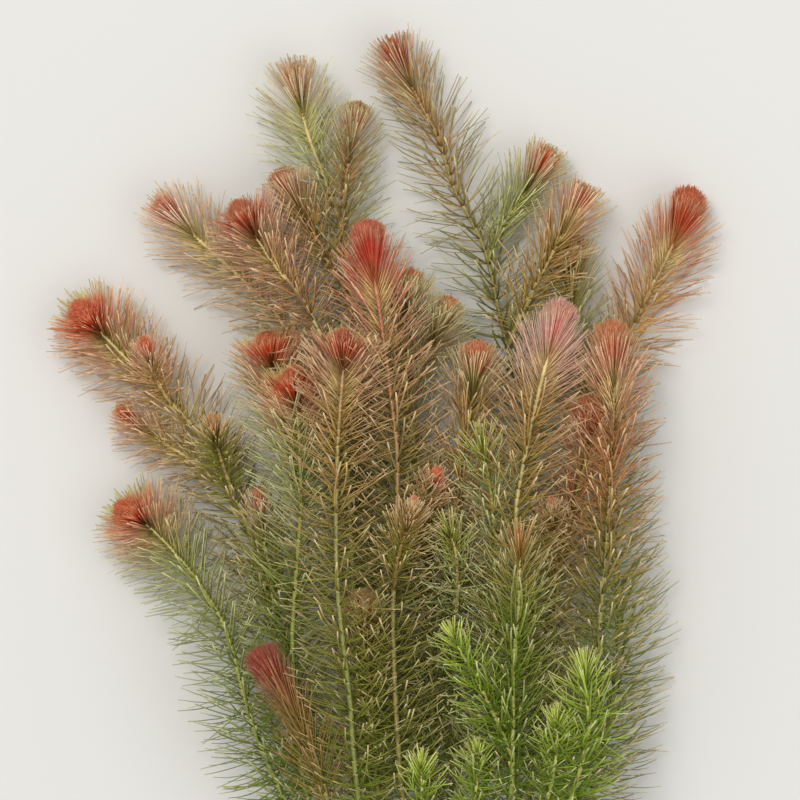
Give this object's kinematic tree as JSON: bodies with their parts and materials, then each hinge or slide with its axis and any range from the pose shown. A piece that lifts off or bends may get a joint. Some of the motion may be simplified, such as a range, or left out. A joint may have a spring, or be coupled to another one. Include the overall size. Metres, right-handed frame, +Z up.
{
  "type": "whorly rotala plant",
  "caption": "Bushy clump of bottle-brush water-plant shoots with whorls of needle leaves and reddish dome tips, grown from short creeping stems and laid on its side.",
  "frame": {"origin": "centre of the footprint on the resting surface, under the middle of the plant's box", "axes": "+Y from the creeping stems at the foot to the shoot tips, +X across the clump, +Z up from the resting surface through the plant's depth"},
  "size_m": [0.1643, 0.2187, 0.0647],
  "materials": {
    "creeping_stem": "smooth waxy green stem, slightly glossy",
    "red_tipped_shoot": "needle leaves, olive to tan with orange-red young tips, satin",
    "pink_tipped_shoot": "needle leaves, tan with pink and white young tips, satin",
    "cream_tipped_shoot": "needle leaves, olive green with red heads and cream leaf ends, satin",
    "olive_shoot": "needle leaves, olive to brown, satin",
    "fresh_green_shoot": "needle leaves, bright yellow-green, satin"
  },
  "bodies": {
    "root": {"creeping_stem": "creeping_stem", "rising_runner": "creeping_stem", "left_runner": "creeping_stem", "rear_left_tall_shoot": "red_tipped_shoot", "rear_left_side_shoot": "red_tipped_shoot", "rear_left_small_shoot": "red_tipped_shoot", "rear_middle_tall_shoot": "red_tipped_shoot", "rear_middle_side_shoot": "cream_tipped_shoot", "rear_right_side_shoot": "cream_tipped_shoot", "right_outer_shoot": "red_tipped_shoot", "right_hidden_shoot": "olive_shoot", "left_upper_shoot": "red_tipped_shoot", "left_broad_shoot": "red_tipped_shoot", "centre_red_shoot": "red_tipped_shoot", "centre_small_side_shoot": "red_tipped_shoot", "centre_orange_shoot": "red_tipped_shoot", "centre_dark_side_shoot": "olive_shoot", "centre_red_bud": "red_tipped_shoot", "pink_headed_shoot": "pink_tipped_shoot", "right_red_shoot": "red_tipped_shoot", "right_red_side_shoot": "red_tipped_shoot", "right_orange_bud": "red_tipped_shoot", "left_reaching_shoot": "cream_tipped_shoot", "left_reaching_bud": "red_tipped_shoot", "left_reaching_side_shoot": "red_tipped_shoot", "left_tan_bud": "olive_shoot", "left_inner_bud": "red_tipped_shoot", "left_low_shoot": "cream_tipped_shoot", "front_left_low_shoot": "red_tipped_shoot", "left_middle_shoot": "cream_tipped_shoot", "left_middle_side_shoot": "cream_tipped_shoot", "centre_front_shoot": "cream_tipped_shoot", "front_brown_side_shoot": "olive_shoot", "middle_orange_shoot": "red_tipped_shoot", "middle_cream_side_shoot": "cream_tipped_shoot", "middle_cream_shoot": "cream_tipped_shoot", "front_green_shoot": "fresh_green_shoot", "front_small_green_bud": "fresh_green_shoot", "front_right_green_shoot": "fresh_green_shoot", "front_low_green_bud": "fresh_green_shoot", "low_left_green_bud": "fresh_green_shoot", "low_middle_green_bud": "fresh_green_shoot"}
  },
  "joints": []
}
